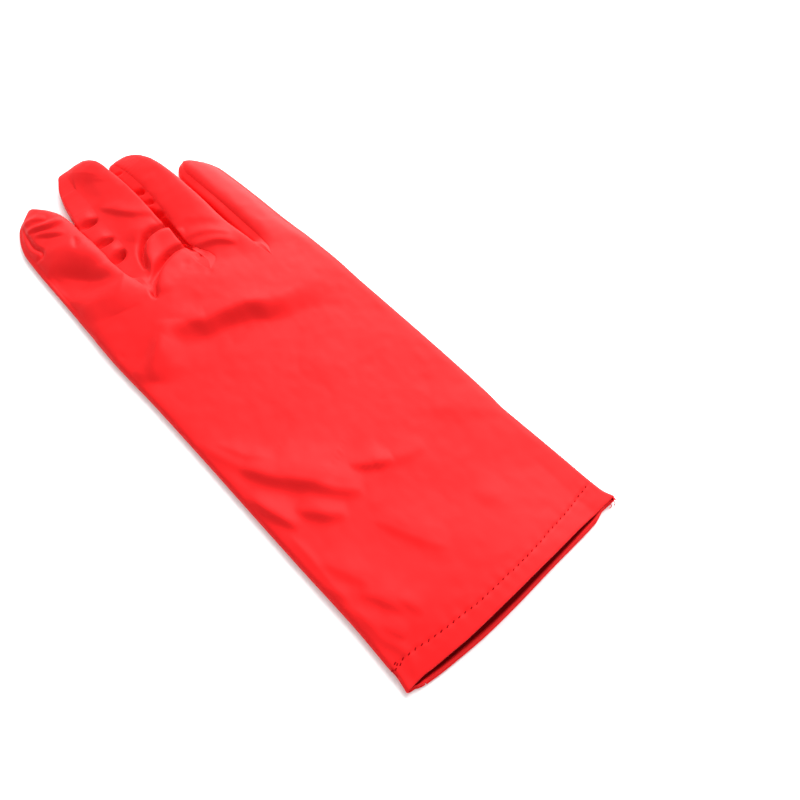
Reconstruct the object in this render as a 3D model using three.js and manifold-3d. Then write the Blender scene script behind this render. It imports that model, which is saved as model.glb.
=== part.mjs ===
// A satin dress glove for the right hand, lying flat with the back of the hand up and the thumb tucked
// under. Millimetres. +X points to the little finger side, +Y to the fingertips, +Z up.
// The origin lies on the surface under the middle of the glove's box.
import * as THREE from 'three';
import { mergeVertices } from 'three/addons/utils/BufferGeometryUtils.js';
import Module from 'manifold-3d';

const wasm = await Module();
wasm.setup();

// Driving sizes. Every distance called along is measured from the back's hem towards the fingertips.
const clothWall = 1;
const palmWall = 1.1;
const seamGap = 0.3;
const hemToOrigin = 116.9;
const hemDepth = 7;
const hemHalfSpan = 33;
const hemSpread = 40;
const hemSlack = 0.06;
const mouthArch = 7.2;
const archPower = 3;
const fingerBlend = 18;
const fingerBulgePower = 2.3;
const tipEndShare = 0.97;
const tipPower = 0.55;
const tipFallPower = 2.4;
const fourchetteBulge = 0.12;
const fourchetteSink = 0.1;
const palmTop = palmWall;
const backRim = palmWall + seamGap + clothWall;
const steepestWall = 2.2;
const handRows = 28;
const evenRows = { first: 8, last: 132, spread: 3 };
const fingerRows = 12;
const fingerTurn = 0.42 * Math.PI;
const fourchetteRows = 10;
const palmColumnShare = 0.7;
const edgeFade = 7;
const satinRed = new THREE.Color(0.78, 0.02, 0.035);

// The glove's two sides, from the cuff to past the widest part of the outer fingers.
const sides = [
  { along: -4, left: -39.2, right: 41.0 },
  { along: 0, left: -39.5, right: 41.5 },
  { along: 4, left: -38.9, right: 40.2 },
  { along: 20, left: -38.9, right: 39.9 },
  { along: 42, left: -39.4, right: 39.7 },
  { along: 60, left: -39.7, right: 40.7 },
  { along: 90, left: -40.1, right: 41.3 },
  { along: 115, left: -40.5, right: 41.5 },
  { along: 142, left: -41.5, right: 41.0 },
  { along: 165, left: -41.3, right: 40.6 },
  { along: 190, left: -41.2, right: 39.6 },
  { along: 230, left: -39.8, right: 37.0 },
];

// How far each hem edge lies from the back's hem line, across the cuff.
const hemLines = [
  { across: -1, back: 1.0, palm: 0.2 },
  { across: -0.8, back: 0.8, palm: -1.9 },
  { across: -0.4, back: 0.3, palm: -3.3 },
  { across: 0, back: 0.0, palm: -3.3 },
  { across: 0.4, back: 0.5, palm: -2.6 },
  { across: 0.8, back: 0.4, palm: -1.6 },
  { across: 1, back: -0.2, palm: -0.7 },
];

// Height of the back's arch above its two edges.
const archRows = [
  { along: 0, arch: mouthArch },
  { along: 10, arch: 6.9 },
  { along: 30, arch: 5.4 },
  { along: 60, arch: 4.5 },
  { along: 90, arch: 3.8 },
  { along: 160, arch: 4.2 },
];

// The gaps between the fingers, from the index side. The back panel ends at the seams, the palm panel at the
// feet, and the fourchette slopes between them.
const gaps = [
  {
    name: 'fourchette_index_middle',
    back: { x: -16.9, along: 152.7 },
    palm: { x: -17.5, along: 158 },
    rows: [
      { along: 160, leftSeam: -19.6, leftFoot: -18.2, rightFoot: -17.1, rightSeam: -14.0 },
      { along: 170, leftSeam: -21.4, leftFoot: -19.7, rightFoot: -18.9, rightSeam: -12.9 },
      { along: 190, leftSeam: -21.8, leftFoot: -19.9, rightFoot: -19.1, rightSeam: -12.2 },
      { along: 208, leftSeam: -21.4, leftFoot: -19.9, rightFoot: -18.9, rightSeam: -11.4 },
      { along: 218, leftSeam: -20.9, leftFoot: -19.6, rightFoot: -18.0, rightSeam: -12.6 },
      { along: 230, leftSeam: -20.2, leftFoot: -19.0, rightFoot: -16.6, rightSeam: -15.5 },
    ],
  },
  {
    name: 'fourchette_middle_ring',
    back: { x: 4.4, along: 149.8 },
    palm: { x: 4.6, along: 155 },
    rows: [
      { along: 157, leftSeam: 2.6, leftFoot: 4.1, rightFoot: 5.1, rightSeam: 7.0 },
      { along: 170, leftSeam: 2.3, leftFoot: 4.2, rightFoot: 5.0, rightSeam: 7.6 },
      { along: 190, leftSeam: 2.7, leftFoot: 4.5, rightFoot: 5.3, rightSeam: 9.0 },
      { along: 205, leftSeam: 3.0, leftFoot: 4.7, rightFoot: 5.5, rightSeam: 9.6 },
      { along: 216, leftSeam: 3.3, leftFoot: 4.8, rightFoot: 5.6, rightSeam: 8.6 },
      { along: 230, leftSeam: 3.5, leftFoot: 4.6, rightFoot: 5.8, rightSeam: 7.0 },
    ],
  },
  {
    name: 'fourchette_ring_little',
    back: { x: 24.4, along: 141 },
    palm: { x: 24.0, along: 146 },
    rows: [
      { along: 148, leftSeam: 22.0, leftFoot: 23.5, rightFoot: 24.4, rightSeam: 26.3 },
      { along: 165, leftSeam: 20.9, leftFoot: 22.9, rightFoot: 23.7, rightSeam: 26.8 },
      { along: 185, leftSeam: 20.8, leftFoot: 22.8, rightFoot: 23.6, rightSeam: 26.6 },
      { along: 200, leftSeam: 21.2, leftFoot: 22.7, rightFoot: 23.6, rightSeam: 25.4 },
      { along: 212, leftSeam: 21.2, leftFoot: 22.4, rightFoot: 23.8, rightSeam: 24.9 },
      { along: 230, leftSeam: 21.0, leftFoot: 22.2, rightFoot: 24.0, rightSeam: 25.0 },
    ],
  },
];

// The fingers from the index to the little one: the tip, the length of its rounding, the arch of the back
// between its seams, and how high the back's left and right edges lie.
const fingers = [
  { tipX: -29.4, tipAlong: 224.3, round: 19, arch: 3.6, leftEdge: backRim, rightEdge: 4.6, columns: 6 },
  { tipX: -3.2, tipAlong: 237.1, round: 24, arch: 1.9, leftEdge: 6.0, rightEdge: 4.6, columns: 5 },
  { tipX: 11.5, tipAlong: 228.4, round: 20, arch: 2.4, leftEdge: 5.4, rightEdge: 4.6, columns: 4 },
  { tipX: 31.3, tipAlong: 208.8, round: 16, arch: 3.4, leftEdge: 4.8, rightEdge: backRim, columns: 4 },
];

// Height of the knuckle line where it meets the glove's two sides.
const knuckleEnds = { left: 153, right: 139 };

// The tucked thumb lies under the palm from its seam at the index side towards the ring finger.
const thumb = {
  base: { x: -28.5, along: 147, radius: 11.5 },
  tip: { x: 8.5, along: 127, radius: 9 },
  height: 3.2,
  rim: 1.6,
  cavityRim: 0.15,
  mouthRadius: 8,
  rows: 14,
  columns: 6,
};
const thumbSlope = 9;
const thumbMargin = 2;
const archOverThumb = 0.55;

// Folds and dents of the back: a ridge has a positive height and a valley a negative one.
const backFolds = [
  { fromX: -36, fromAlong: 93, toX: -32, toAlong: 71, width: 4.5, height: -1.3 }, // long forearm fold, upper
  { fromX: -32, fromAlong: 71, toX: -9, toAlong: 48, width: 4.5, height: -1.5 }, // long forearm fold, lower
  { fromX: -24, fromAlong: 76, toX: -4, toAlong: 58, width: 5, height: 0.8 }, // ridge beside the long fold
  { fromX: -37, fromAlong: 63, toX: -33, toAlong: 52, width: 3.5, height: -1.1 }, // short fold, forearm edge
  { fromX: -36, fromAlong: 29, toX: -24, toAlong: 12, width: 4, height: -0.8 }, // low fold, forearm edge
  { fromX: -14, fromAlong: 38, toX: -9, toAlong: 24, width: 4, height: -0.6 }, // soft fold over the wrist
  { fromX: -37, fromAlong: 128, toX: -34, toAlong: 112, width: 5, height: -1.4 }, // below the thumb, edge
  { fromX: -20, fromAlong: 130, toX: 2, toAlong: 118, width: 4.5, height: -0.9 }, // below the thumb, middle
  { fromX: 2, fromAlong: 118, toX: 20, toAlong: 116, width: 4.5, height: -1.1 }, // below the thumb, tip
  { fromX: -34, fromAlong: 176, toX: -24, toAlong: 173, width: 7, height: -1.6 }, // index knuckle dip
  { fromX: -34, fromAlong: 207, toX: -25, toAlong: 203, width: 3.5, height: -0.9 }, // index tip
  { fromX: -12, fromAlong: 169, toX: 1, toAlong: 178, width: 3.5, height: -1.1 }, // middle knuckle
  { fromX: -12, fromAlong: 163, toX: 1, toAlong: 171, width: 3.5, height: 0.7 }, // middle knuckle ridge
  { fromX: -15, fromAlong: 155, toX: -1, toAlong: 165, width: 3.5, height: -0.9 }, // below the middle knuckle
  { fromX: 9, fromAlong: 167, toX: 18, toAlong: 161, width: 3.5, height: -0.9 }, // ring knuckle
];

function clamp01(value) {
  return Math.min(1, Math.max(0, value));
}

function smooth(from, to, value) {
  const share = clamp01((value - from) / (to - from));
  return share * share * (3 - 2 * share);
}

function mix(a, b, share) {
  return a + (b - a) * share;
}

// The value of one column of a table at a place along it, on straight lines between its rows.
function readRow(rows, place, at, column) {
  let k = 1;
  while (k < rows.length - 1 && rows[k][place] < at) k += 1;
  const below = rows[k - 1];
  const above = rows[k];
  const share = clamp01((at - below[place]) / (above[place] - below[place]));
  return mix(below[column], above[column], share);
}

function segmentPlace(x, along, a, b) {
  const dx = b.x - a.x;
  const dy = b.along - a.along;
  const share = clamp01(((x - a.x) * dx + (along - a.along) * dy) / (dx * dx + dy * dy));
  return { share, distance: Math.hypot(x - a.x - dx * share, along - a.along - dy * share) };
}

// How far the palm is lifted where it passes over the thumb.
function lift(x, along) {
  const place = segmentPlace(x, along, thumb.base, thumb.tip);
  const outside = place.distance - mix(thumb.base.radius, thumb.tip.radius, place.share);
  return (thumb.height + seamGap) * (1 - smooth(thumbMargin, thumbMargin + thumbSlope, outside));
}

function foldHeight(x, along) {
  let sum = 0;
  for (const fold of backFolds) {
    const start = { x: fold.fromX, along: fold.fromAlong };
    const end = { x: fold.toX, along: fold.toAlong };
    const place = segmentPlace(x, along, start, end);
    sum += fold.height * Math.exp(-((place.distance / fold.width) ** 2));
  }
  return sum;
}

// Outer height of the back over the forearm and the hand.
function handTop(x, along) {
  const left = readRow(sides, 'along', along, 'left');
  const right = readRow(sides, 'along', along, 'right');
  const across = Math.min(1, Math.abs((2 * x - left - right) / (right - left)));
  const raised = lift(x, along);
  const share = mix(1, archOverThumb, raised / (thumb.height + seamGap));
  const arch = readRow(archRows, 'along', along, 'arch') * share;
  return backRim + raised + arch * (1 - across ** archPower);
}

// The side line of a finger, from the glove's side or a gap's seam or foot, drawn in to the rounded tip.
function fingerSide(finger, side, line, along) {
  const spec = fingers[finger];
  const gap = side === 'left' ? gaps[finger - 1] : gaps[finger];
  let x;
  if (gap === undefined) {
    x = readRow(sides, 'along', along, side);
  } else {
    const crotch = line === 'Seam' ? gap.back : gap.palm;
    const column = (side === 'left' ? 'right' : 'left') + line;
    const rows = [{ along: crotch.along, [column]: crotch.x }, ...gap.rows];
    x = readRow(rows, 'along', along, column);
  }
  const share = tipEndShare * clamp01((along - spec.tipAlong + spec.round) / spec.round);
  return mix(spec.tipX, x, (1 - share * share) ** tipPower);
}

// Outer height of the back over a finger, from 0 at its left edge to 1 at its right edge.
function fingerTop(finger, across, x, along, knuckle) {
  const spec = fingers[finger];
  const tipShare = clamp01((along - spec.tipAlong + spec.round) / spec.round);
  const fall = Math.sqrt(1 - tipEndShare * tipShare ** tipFallPower);
  const edge = mix(spec.leftEdge, spec.rightEdge, across);
  const bulge = 1 - Math.abs(2 * across - 1) ** fingerBulgePower;
  const height = backRim + (edge - backRim + spec.arch * bulge) * fall;
  return mix(handTop(x, along), height, smooth(knuckle, knuckle + fingerBlend, along));
}

// The knuckle line runs through the points where the fingers part, on the back or on the palm.
function knucklePoints(panel) {
  const left = { x: readRow(sides, 'along', knuckleEnds.left, 'left'), along: knuckleEnds.left };
  const right = { x: readRow(sides, 'along', knuckleEnds.right, 'right'), along: knuckleEnds.right };
  return [left, ...gaps.map((gap) => gap[panel]), right];
}

// The rows of the forearm and hand lie at the same levels in both panels, apart from the first and the
// last few, which follow the hem and the knuckle line.
function handLevel(j, start, end) {
  const even = handRows - evenRows.spread;
  if (j === 0) return start;
  if (j <= even) return mix(evenRows.first, evenRows.last, (j - 1) / (even - 1));
  return mix(evenRows.last, end, (j - even) / evenRows.spread);
}

// The rows of a finger lie closer together towards its tip. This is the share of its length at a row.
function fingerLevel(j) {
  return Math.sin((j / fingerRows) * fingerTurn) / Math.sin(fingerTurn);
}

// The columns of a panel's hand patch, at the places where they reach the knuckle line.
function knuckleColumns(points, columnShare) {
  const columns = [];
  for (let k = 0; k < fingers.length; k += 1) {
    const count = Math.round(fingers[k].columns * columnShare);
    for (let i = k === 0 ? 0 : 1; i <= count; i += 1) {
      const x = mix(points[k].x, points[k + 1].x, i / count);
      const along = mix(points[k].along, points[k + 1].along, i / count);
      const left = readRow(sides, 'along', along, 'left');
      const right = readRow(sides, 'along', along, 'right');
      columns.push({ along, share: (x - left) / (right - left) });
    }
  }
  return columns;
}

function handPatch(panel, columns, topAt) {
  const rows = [];
  for (let j = 0; j <= handRows; j += 1) {
    rows.push(columns.map((column) => {
      const start = readRow(hemLines, 'across', 2 * column.share - 1, panel);
      const along = handLevel(j, start, column.along);
      const left = readRow(sides, 'along', along, 'left');
      const x = mix(left, readRow(sides, 'along', along, 'right'), column.share);
      return { x, along, top: topAt(-1, column.share, x, along, 0) };
    }));
  }
  return rows;
}

function fingerPatch(k, points, line, columnShare, topAt) {
  const count = Math.round(fingers[k].columns * columnShare);
  const rows = [];
  for (let j = 0; j <= fingerRows; j += 1) {
    const row = [];
    for (let i = 0; i <= count; i += 1) {
      const across = i / count;
      const knuckle = mix(points[k].along, points[k + 1].along, across);
      const along = mix(knuckle, fingers[k].tipAlong, fingerLevel(j));
      const left = j === 0 ? points[k].x : fingerSide(k, 'left', line, along);
      const right = j === 0 ? points[k + 1].x : fingerSide(k, 'right', line, along);
      const x = mix(left, right, across);
      row.push({ x, along, top: topAt(k, across, x, along, knuckle) });
    }
    rows.push(row);
  }
  return rows;
}

// The plan of a panel: one patch for the forearm and hand, and one for each finger. Each patch is a grid of
// points { x, along, top } with its rows running towards the fingertips.
function panelPlan(panel, line, columnShare, topAt) {
  const points = knucklePoints(panel);
  const hand = handPatch(panel, knuckleColumns(points, columnShare), topAt);
  return [hand, ...fingers.map((finger, k) => fingerPatch(k, points, line, columnShare, topAt))];
}

// How far below the outer face a sloping sheet's inner face lies, so that the wall keeps its thickness.
function wallDrop(rows, j, i) {
  const before = rows[j][Math.max(0, i - 1)];
  const after = rows[j][Math.min(rows[j].length - 1, i + 1)];
  const below = rows[Math.max(0, j - 1)][i];
  const above = rows[Math.min(rows.length - 1, j + 1)][i];
  const across = new THREE.Vector3(after.x - before.x, after.along - before.along, after.top - before.top);
  const up = new THREE.Vector3(above.x - below.x, above.along - below.along, above.top - below.top);
  const normal = across.cross(up);
  return Math.min(steepestWall, clothWall * normal.length() / Math.abs(normal.z));
}

// One closed sheet from patches of plan points with a top and a bottom. Points that share a place are
// joined, and a wall closes every edge that only one cell has.
function sheetGeometry(patches) {
  const placeOf = new Map();
  const tops = [];
  const bottoms = [];
  const indexOf = (point) => {
    const key = `${point.x.toFixed(3)},${point.along.toFixed(3)}`;
    if (!placeOf.has(key)) {
      placeOf.set(key, tops.length);
      tops.push([point.x, point.along - hemToOrigin, point.top]);
      bottoms.push([point.x, point.along - hemToOrigin, point.bottom]);
    }
    return placeOf.get(key);
  };
  const triangles = [];
  const edges = new Map();
  for (const rows of patches) {
    for (let j = 1; j < rows.length; j += 1) {
      for (let i = 1; i < rows[j].length; i += 1) {
        const cell = [rows[j - 1][i - 1], rows[j - 1][i], rows[j][i], rows[j][i - 1]].map(indexOf);
        triangles.push([cell[0], cell[1], cell[2]], [cell[0], cell[2], cell[3]]);
        cell.forEach((from, k) => {
          const to = cell[(k + 1) % cell.length];
          edges.set(`${from},${to}`, [from, to]);
        });
      }
    }
  }
  const count = tops.length;
  const index = [];
  for (const [a, b, c] of triangles) {
    index.push(a, b, c, a + count, c + count, b + count);
  }
  for (const [a, b] of edges.values()) {
    if (!edges.has(`${b},${a}`)) index.push(a + count, b + count, b, a + count, b, a);
  }
  const geometry = new THREE.BufferGeometry();
  geometry.setAttribute('position', new THREE.Float32BufferAttribute([...tops, ...bottoms].flat(), 3));
  geometry.setIndex(index);
  return geometry;
}

function toSolid(geometry) {
  const bare = geometry.clone();
  bare.deleteAttribute('normal');
  bare.deleteAttribute('uv');
  const merged = mergeVertices(bare);
  return new wasm.Manifold(new wasm.Mesh({
    numProp: 3,
    vertProperties: merged.attributes.position.array,
    triVerts: Uint32Array.from(merged.index.array),
  }));
}

function toGeometry(solid) {
  const mesh = solid.getMesh();
  const geometry = new THREE.BufferGeometry();
  geometry.setAttribute('position', new THREE.BufferAttribute(mesh.vertProperties, 3));
  geometry.setIndex(new THREE.BufferAttribute(mesh.triVerts, 1));
  return geometry;
}

// Outer height of the back anywhere, with its folds, which fade out at the glove's sides.
function backTop(finger, across, x, along, knuckle) {
  const smoothTop = finger < 0 ? handTop(x, along) : fingerTop(finger, across, x, along, knuckle);
  const left = readRow(sides, 'along', along, 'left');
  const right = readRow(sides, 'along', along, 'right');
  const fade = smooth(0, edgeFade, Math.min(x - left, right - x));
  return Math.max(smoothTop + foldHeight(x, along) * fade, lift(x, along) + backRim);
}

function backPanel() {
  const patches = panelPlan('back', 'Seam', 1, backTop);
  for (const rows of patches) {
    rows.forEach((row, j) => row.forEach((point, i) => {
      const lowest = lift(point.x, point.along) + palmTop + seamGap;
      point.bottom = Math.max(point.top - wallDrop(rows, j, i), lowest);
    }));
  }
  return sheetGeometry(patches);
}

function thumbMouth() {
  const height = 10;
  const cylinder = new THREE.CylinderGeometry(thumb.mouthRadius, thumb.mouthRadius, height, 16);
  cylinder.rotateX(Math.PI / 2);
  cylinder.translate(thumb.base.x, thumb.base.along - hemToOrigin, height / 2 + thumb.rim);
  return toSolid(cylinder);
}

function palmPanel() {
  const topAt = (finger, across, x, along) => lift(x, along) + palmTop;
  const patches = panelPlan('palm', 'Foot', palmColumnShare, topAt);
  patches.flat(2).forEach((point) => { point.bottom = point.top - palmWall; });
  return toGeometry(toSolid(sheetGeometry(patches)).subtract(thumbMouth()));
}

// The thumb's flat bag, or the hollow inside it where it is drawn in by one wall.
function thumbBag(inset) {
  const { base, tip, rows, columns } = thumb;
  const length = Math.hypot(tip.x - base.x, tip.along - base.along);
  const way = { x: (tip.x - base.x) / length, along: (tip.along - base.along) / length };
  const start = inset - base.radius;
  const end = length + tip.radius - inset;
  const points = [];
  for (let j = 0; j <= rows; j += 1) {
    const share = 0.5 - 0.5 * Math.cos((j / rows) * Math.PI);
    const run = mix(start, end, mix(0.008, 0.992, share));
    const radius = mix(base.radius, tip.radius, clamp01(run / length)) - inset;
    const past = run < 0 ? run : Math.max(0, run - length);
    const halfWidth = Math.sqrt(Math.max(0.5, radius * radius - past * past));
    const flat = clamp01(1.15 - Math.abs(past) / radius);
    const row = [];
    for (let i = 0; i <= columns; i += 1) {
      const across = -Math.cos((i / columns) * Math.PI);
      const x = base.x + way.x * run + way.along * halfWidth * across;
      const along = base.along + way.along * run - way.x * halfWidth * across;
      const crown = (1 - Math.abs(across) ** 3) * flat;
      const rim = inset > 0 ? clothWall + thumb.cavityRim : thumb.rim;
      const top = mix(rim, thumb.height - inset, crown);
      row.push({ x, along, top, bottom: inset });
    }
    points.push(row);
  }
  return toSolid(sheetGeometry([points]));
}

function thumbPiece() {
  return toGeometry(thumbBag(0).subtract(thumbBag(clothWall)).subtract(thumbMouth()));
}

// The stations of a fourchette, each with its seam to the back and its foot on the palm. They run down one
// finger's side, round the point where the fingers part, and up the next finger's side.
function fourchetteStations(number) {
  const gap = gaps[number];
  const armStations = (finger, side, towards) => {
    const list = [];
    for (let j = 1; j <= fourchetteRows; j += 1) {
      const along = mix(gap.back.along, fingers[finger].tipAlong, fingerLevel(j));
      const seam = { x: fingerSide(finger, side, 'Seam', along) - seamGap * towards, along };
      const foot = { x: fingerSide(finger, side, 'Foot', along), along };
      list.push({ finger, across: side === 'right' ? 1 : 0, seam, foot });
    }
    return list;
  };
  const crotchSeam = { x: gap.back.x, along: gap.back.along + 2 * seamGap };
  return [
    ...armStations(number, 'right', -1).reverse(),
    { finger: number, across: 1, seam: crotchSeam, foot: gap.palm },
    ...armStations(number + 1, 'left', 1),
  ];
}

function fourchette(number) {
  const knuckle = gaps[number].back.along;
  const rows = fourchetteStations(number).map(({ finger, across, seam, foot }) => {
    const seamTop = backTop(finger, across, seam.x, seam.along, knuckle) - fourchetteSink;
    const footTop = backRim + lift(foot.x, foot.along);
    return [0, 0.5, 1].map((share) => {
      const x = mix(foot.x, seam.x, share);
      const along = mix(foot.along, seam.along, share);
      const bulge = share === 0.5 ? fourchetteBulge * (seamTop - footTop) : 0;
      return { x, along, top: mix(footTop, seamTop, share) + bulge };
    });
  });
  rows.forEach((row, j) => row.forEach((point, i) => {
    const lowest = lift(point.x, point.along) + palmTop + seamGap;
    point.bottom = Math.max(point.top - wallDrop(rows, j, i), lowest);
  }));
  return sheetGeometry([rows]);
}

// The turned-in hem lies against the inside of its panel, level with the panel's folded edge.
function hem(panel) {
  const columns = 12;
  const rows = 2;
  const points = [];
  for (let j = 0; j <= rows; j += 1) {
    const row = [];
    for (let i = 0; i <= columns; i += 1) {
      const x = mix(-hemHalfSpan, hemHalfSpan, i / columns);
      const along = readRow(hemLines, 'across', x / hemSpread, panel) + hemDepth * j / rows;
      const slope = archPower * mouthArch * (x / hemSpread) ** 2 / hemSpread;
      const under = backTop(-1, 0, x, along, 0) - clothWall * Math.hypot(1, slope) - seamGap - hemSlack;
      const top = panel === 'back' ? under : palmTop + seamGap + clothWall;
      row.push({ x, along, top, bottom: top - clothWall });
    }
    points.push(row);
  }
  return sheetGeometry([points]);
}

const glove = new THREE.Group();

function addPiece(name, geometry, shade, roughness) {
  const material = new THREE.MeshStandardMaterial({
    color: satinRed.clone().multiplyScalar(shade),
    roughness,
    metalness: 0,
  });
  const piece = new THREE.Mesh(geometry, material);
  piece.name = name;
  glove.add(piece);
}

addPiece('back_panel', backPanel(), 1, 0.42);
addPiece('palm_panel', palmPanel(), 0.97, 0.45);
addPiece('thumb', thumbPiece(), 0.95, 0.45);
gaps.forEach((gap, number) => addPiece(gap.name, fourchette(number), 0.9, 0.45));
addPiece('hem_back', hem('back'), 0.85, 0.5);
addPiece('hem_palm', hem('palm'), 0.88, 0.5);

export default glove;
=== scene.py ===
# Red satin dress glove for the right hand, laid flat with its back up and its thumb tucked under
from math import cos, hypot, pi, radians, sin, sqrt

import bmesh
import bpy
import numpy as np
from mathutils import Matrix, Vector


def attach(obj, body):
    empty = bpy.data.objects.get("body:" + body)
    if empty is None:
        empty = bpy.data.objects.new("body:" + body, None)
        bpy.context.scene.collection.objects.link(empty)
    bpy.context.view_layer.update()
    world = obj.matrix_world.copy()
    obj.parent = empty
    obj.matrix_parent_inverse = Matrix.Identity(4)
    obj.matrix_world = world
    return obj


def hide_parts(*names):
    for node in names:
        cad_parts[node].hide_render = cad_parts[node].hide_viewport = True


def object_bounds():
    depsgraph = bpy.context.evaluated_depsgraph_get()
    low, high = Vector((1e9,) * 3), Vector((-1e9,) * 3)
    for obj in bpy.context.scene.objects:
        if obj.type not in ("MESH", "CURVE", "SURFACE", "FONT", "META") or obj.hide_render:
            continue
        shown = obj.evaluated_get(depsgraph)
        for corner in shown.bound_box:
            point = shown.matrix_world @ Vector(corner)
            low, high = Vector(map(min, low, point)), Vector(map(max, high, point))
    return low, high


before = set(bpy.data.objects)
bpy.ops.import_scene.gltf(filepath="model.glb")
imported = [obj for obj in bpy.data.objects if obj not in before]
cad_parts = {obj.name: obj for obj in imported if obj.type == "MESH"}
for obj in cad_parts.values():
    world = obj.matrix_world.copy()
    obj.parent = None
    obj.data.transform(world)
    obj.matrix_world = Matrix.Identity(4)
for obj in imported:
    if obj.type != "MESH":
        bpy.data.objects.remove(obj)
cadLow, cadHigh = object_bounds()

# Lengths are millimetres until a mesh is made. "along" runs from the back's hem towards the fingertips.
mm = 0.001
hemToOrigin = 116.9
clothThick = 0.5
foldRadius = 1.2             # of the fold at the index side and of the seam at the little-finger side
gloveLength = round((cadHigh.y - cadLow.y) / mm, 1)
print("frame loaded:", len(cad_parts), "solids, glove length", gloveLength, "mm")


# Camera, table and lights

view = dict(
    place=(-64.7, -141.4, 190.7),
    look=(0.3664, 0.4010, -0.8396),
    lens=32.07,
    sensor=36,
    nearest=0.01,            # metres
)
studio = dict(
    tableHalf=3,             # metres
    tableDrop=0.15,
    tableTone=(0.94, 0.94, 0.945),
    tableRoughness=0.9,
    tableShine=0.1,
    sky=(1, 1, 1),
    skyStrength=0.74,
    lamps=[                  # name, place in metres, width, watts
        ("keySoftbox", (2.58, 1.38, 1.69), 3.75, 385),
        ("fillSoftbox", (-0.5, -0.9, 1.4), 1.6, 2.4),
    ],
)


def addToScene(name, data):
    thing = bpy.data.objects.new(name, data)
    bpy.context.scene.collection.objects.link(thing)
    return thing


def aim(thing, way):
    thing.rotation_mode = "QUATERNION"
    thing.rotation_quaternion = Vector(way).to_track_quat("-Z", "Y")


def setSockets(node, values):
    for socket, value in values.items():
        node.inputs[socket].default_value = value


def newMaterial(name, roughness, specular):
    material = bpy.data.materials.new(name)
    material.use_nodes = True
    shader = material.node_tree.nodes["Principled BSDF"]
    setSockets(shader, {"Roughness": roughness, "Specular IOR Level": specular})
    return material, shader


def setCamera():
    camera = addToScene("photoCamera", bpy.data.cameras.new("photoCamera"))
    camera.data.lens = view["lens"]
    camera.data.sensor_width = view["sensor"]
    camera.data.clip_start = view["nearest"]
    camera.location = Vector(view["place"]) * mm
    aim(camera, view["look"])
    bpy.context.scene.camera = camera


def setLights():
    scene = bpy.context.scene
    scene.view_settings.view_transform = "Standard"
    scene.world = bpy.data.worlds.new("whiteRoom")
    scene.world.use_nodes = True
    backdrop = scene.world.node_tree.nodes["Background"]
    setSockets(backdrop, {"Color": (*studio["sky"], 1), "Strength": studio["skyStrength"]})
    for name, place, width, power in studio["lamps"]:
        lamp = bpy.data.lights.new(name, "AREA")
        lamp.size = width
        lamp.energy = power
        holder = addToScene(name, lamp)
        holder.location = place
        aim(holder, -Vector(place))


def setTable():
    half = studio["tableHalf"]
    mesh = bpy.data.meshes.new("whiteTable")
    corners = [(-half, -half, 0), (half, -half, 0), (half, half, 0), (-half, half, 0)]
    mesh.from_pydata(corners, [], [(0, 1, 2, 3)])
    table = addToScene("whiteTable", mesh)
    table.location.z = -studio["tableDrop"] * mm
    paint, shader = newMaterial("whiteTable", studio["tableRoughness"], studio["tableShine"])
    setSockets(shader, {"Base Color": (*studio["tableTone"], 1)})
    mesh.materials.append(paint)


setCamera()
setLights()
setTable()
print("camera, table and lights set")


# Satin

satin = dict(
    sheen=0.02,
    sheenRoughness=0.4,
    sheenTint=(1, 0.45, 0.45),
    dyeClouds=dict(scale=55, detail=6, roughness=0.65),
    floats=(260, 3600),      # how often the long satin threads repeat along and across the glove, per metre
    floatShare=0.35,         # of the threads in the dye's unevenness
    weave=dict(strength=0.4, depth=0.03),
    creaseSize=230,
    creases=dict(strength=0.3, depth=0.13),
)
# gloss is how much of the shine takes the dye's own red
faceFinish = dict(
    bright=(0.71, 0.0126, 0.0138), deep=(0.66, 0.0101, 0.0116), roughness=0.58, specular=0.09, gloss=0.25,
)
# the satin's reverse: duller than its face, and painted far darker than it is as painted shade inside the
# cuff, the hems and the cut edges
reverseFinishWithPaintedShade = dict(
    bright=(0.19, 0.001, 0.003), deep=(0.15, 0.0008, 0.002), roughness=0.85, specular=0.02, gloss=0,
)


def addNoise(tree, scale, detail, roughness=0.5, vector=None):
    noise = tree.nodes.new("ShaderNodeTexNoise")
    setSockets(noise, {"Scale": scale, "Detail": detail, "Roughness": roughness})
    if vector:
        tree.links.new(vector, noise.inputs["Vector"])
    return noise.outputs["Fac"]


def addBump(tree, height, strength, depth):
    bump = tree.nodes.new("ShaderNodeBump")
    setSockets(bump, {"Strength": strength, "Distance": depth * mm})
    tree.links.new(height, bump.inputs["Height"])
    return bump


def tintBetween(tree, shader, factor, deep, bright):
    tint = tree.nodes.new("ShaderNodeMix")
    tint.data_type = "RGBA"
    setSockets(tint, {"A": (*deep, 1), "B": (*bright, 1)})
    tree.links.new(factor, tint.inputs["Factor"])
    tree.links.new(tint.outputs["Result"], shader.inputs["Base Color"])


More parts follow.
